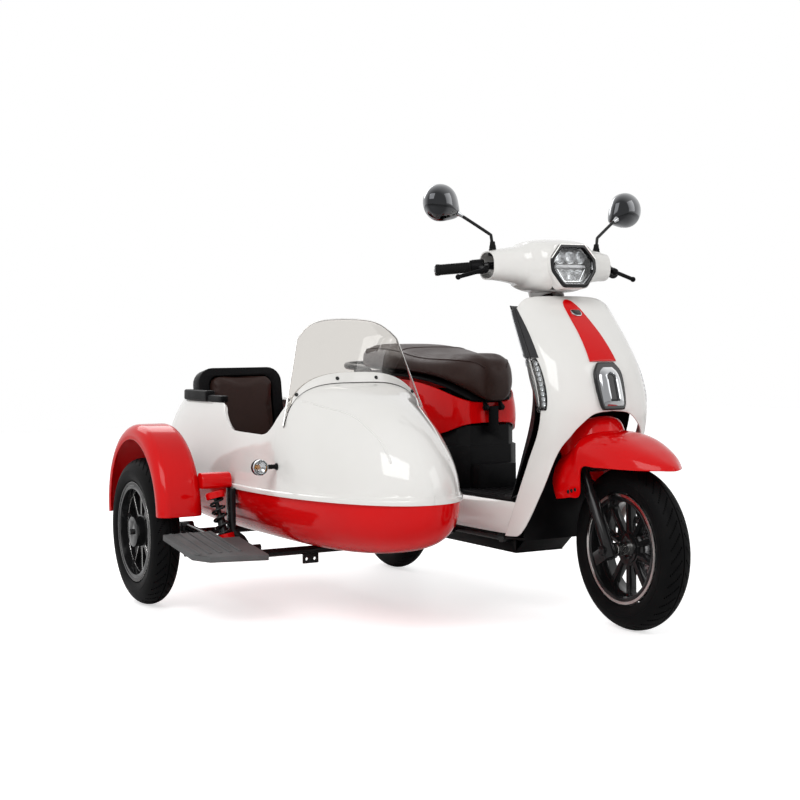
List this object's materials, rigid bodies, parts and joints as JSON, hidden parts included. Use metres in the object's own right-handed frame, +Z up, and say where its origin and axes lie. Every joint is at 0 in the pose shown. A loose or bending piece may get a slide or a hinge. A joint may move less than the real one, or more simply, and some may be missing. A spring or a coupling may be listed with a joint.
{
  "type": "electric tricycle",
  "caption": "Electric scooter with a passenger sidecar: steering fork, spinning wheels, hinged saddle over a storage bin, windscreen, side step and red and white body mouldings.",
  "frame": {"origin": "centre of the bounding box's footprint, on the ground", "axes": "+X forward along the scooter, +Y to the rider's left, +Z up"},
  "size_m": [1.7462, 1.32, 1.1459],
  "materials": {
    "white_gloss": "gloss",
    "red_gloss": "gloss",
    "black_plastic": "satin",
    "grey_plastic": "satin",
    "black_steel": "satin",
    "black_alloy": "gloss",
    "chrome": "polished",
    "disc_steel": "brushed",
    "tyre_rubber": "matte",
    "grip_rubber": "matte",
    "brown_leather": "satin",
    "clear": "clear",
    "red_lens": "clear",
    "mirror": "polished",
    "battery_case": "satin"
  },
  "bodies": {
    "chassis": {"frame": "black_steel", "leg_shield": "white_gloss", "shield_stripe": "red_gloss", "shield_grille": "chrome", "shield_trims": "grey_plastic", "front_indicators": "clear", "inner_shield": "black_plastic", "floorboard": "black_plastic", "sills": "white_gloss", "undertray": "black_plastic", "battery_pack": "battery_case", "lower_body": "black_plastic", "rear_body": "red_gloss", "storage_bin": "black_plastic", "grab_rail": "black_steel", "tail_lamps": "red_lens", "rear_fender": "black_plastic", "swing_arm": "black_steel", "dampers": "black_steel", "coil_springs": "black_steel", "sidecar_frame": "black_steel", "sidecar_arm": "black_steel", "hull_lower": "red_gloss", "hull_upper": "white_gloss", "windscreen": "clear", "screen_flange": "white_gloss", "seat_shell": "black_plastic", "sidecar_cushion": "brown_leather", "sidecar_backrest": "brown_leather", "armrest": "black_plastic", "sidecar_fender": "red_gloss", "step_plate": "grey_plastic", "sidecar_lamp": "grey_plastic"},
    "steering": {"fork": "black_steel", "front_fender": "red_gloss", "front_caliper": "black_alloy", "handlebar": "black_steel", "grips": "grip_rubber", "controls": "black_plastic", "nacelle": "white_gloss", "headlamp_bezel": "chrome", "headlamp": "clear", "dash": "black_plastic", "mirror_stalks": "black_steel", "mirror_shells": "chrome", "mirror_glass": "mirror"},
    "front_wheel": {"front_tyre": "tyre_rubber", "front_rim": "black_alloy", "front_hub": "chrome", "front_disc": "disc_steel"},
    "rear_wheel": {"rear_tyre": "tyre_rubber", "rear_rim": "black_alloy"},
    "sidecar_wheel": {"sidecar_tyre": "tyre_rubber", "sidecar_rim": "black_alloy"},
    "saddle_lid": {"saddle": "brown_leather", "saddle_pan": "black_plastic"}
  },
  "joints": [
    {"name": "steering_turn", "type": "hinge", "parent": "chassis", "child": "steering", "pos_m": [0.38156, 0.308, 0.7], "axis": [-0.4695, 0, 0.8829], "range_deg": [-35, 35]},
    {"name": "front_spin", "type": "hinge", "parent": "steering", "child": "front_wheel", "pos_m": [0.66661, 0.308, 0.2065], "axis": [0, 1, 0], "continuous": true},
    {"name": "rear_spin", "type": "hinge", "parent": "chassis", "child": "rear_wheel", "pos_m": [-0.58339, 0.308, 0.2065], "axis": [0, 1, 0], "continuous": true},
    {"name": "sidecar_spin", "type": "hinge", "parent": "chassis", "child": "sidecar_wheel", "pos_m": [-0.35839, -0.614, 0.2065], "axis": [0, 1, 0], "continuous": true},
    {"name": "saddle_hinge", "type": "hinge", "parent": "chassis", "child": "saddle_lid", "pos_m": [0.02661, 0.308, 0.54], "axis": [0, 1, 0], "range_deg": [0, 70]}
  ]
}
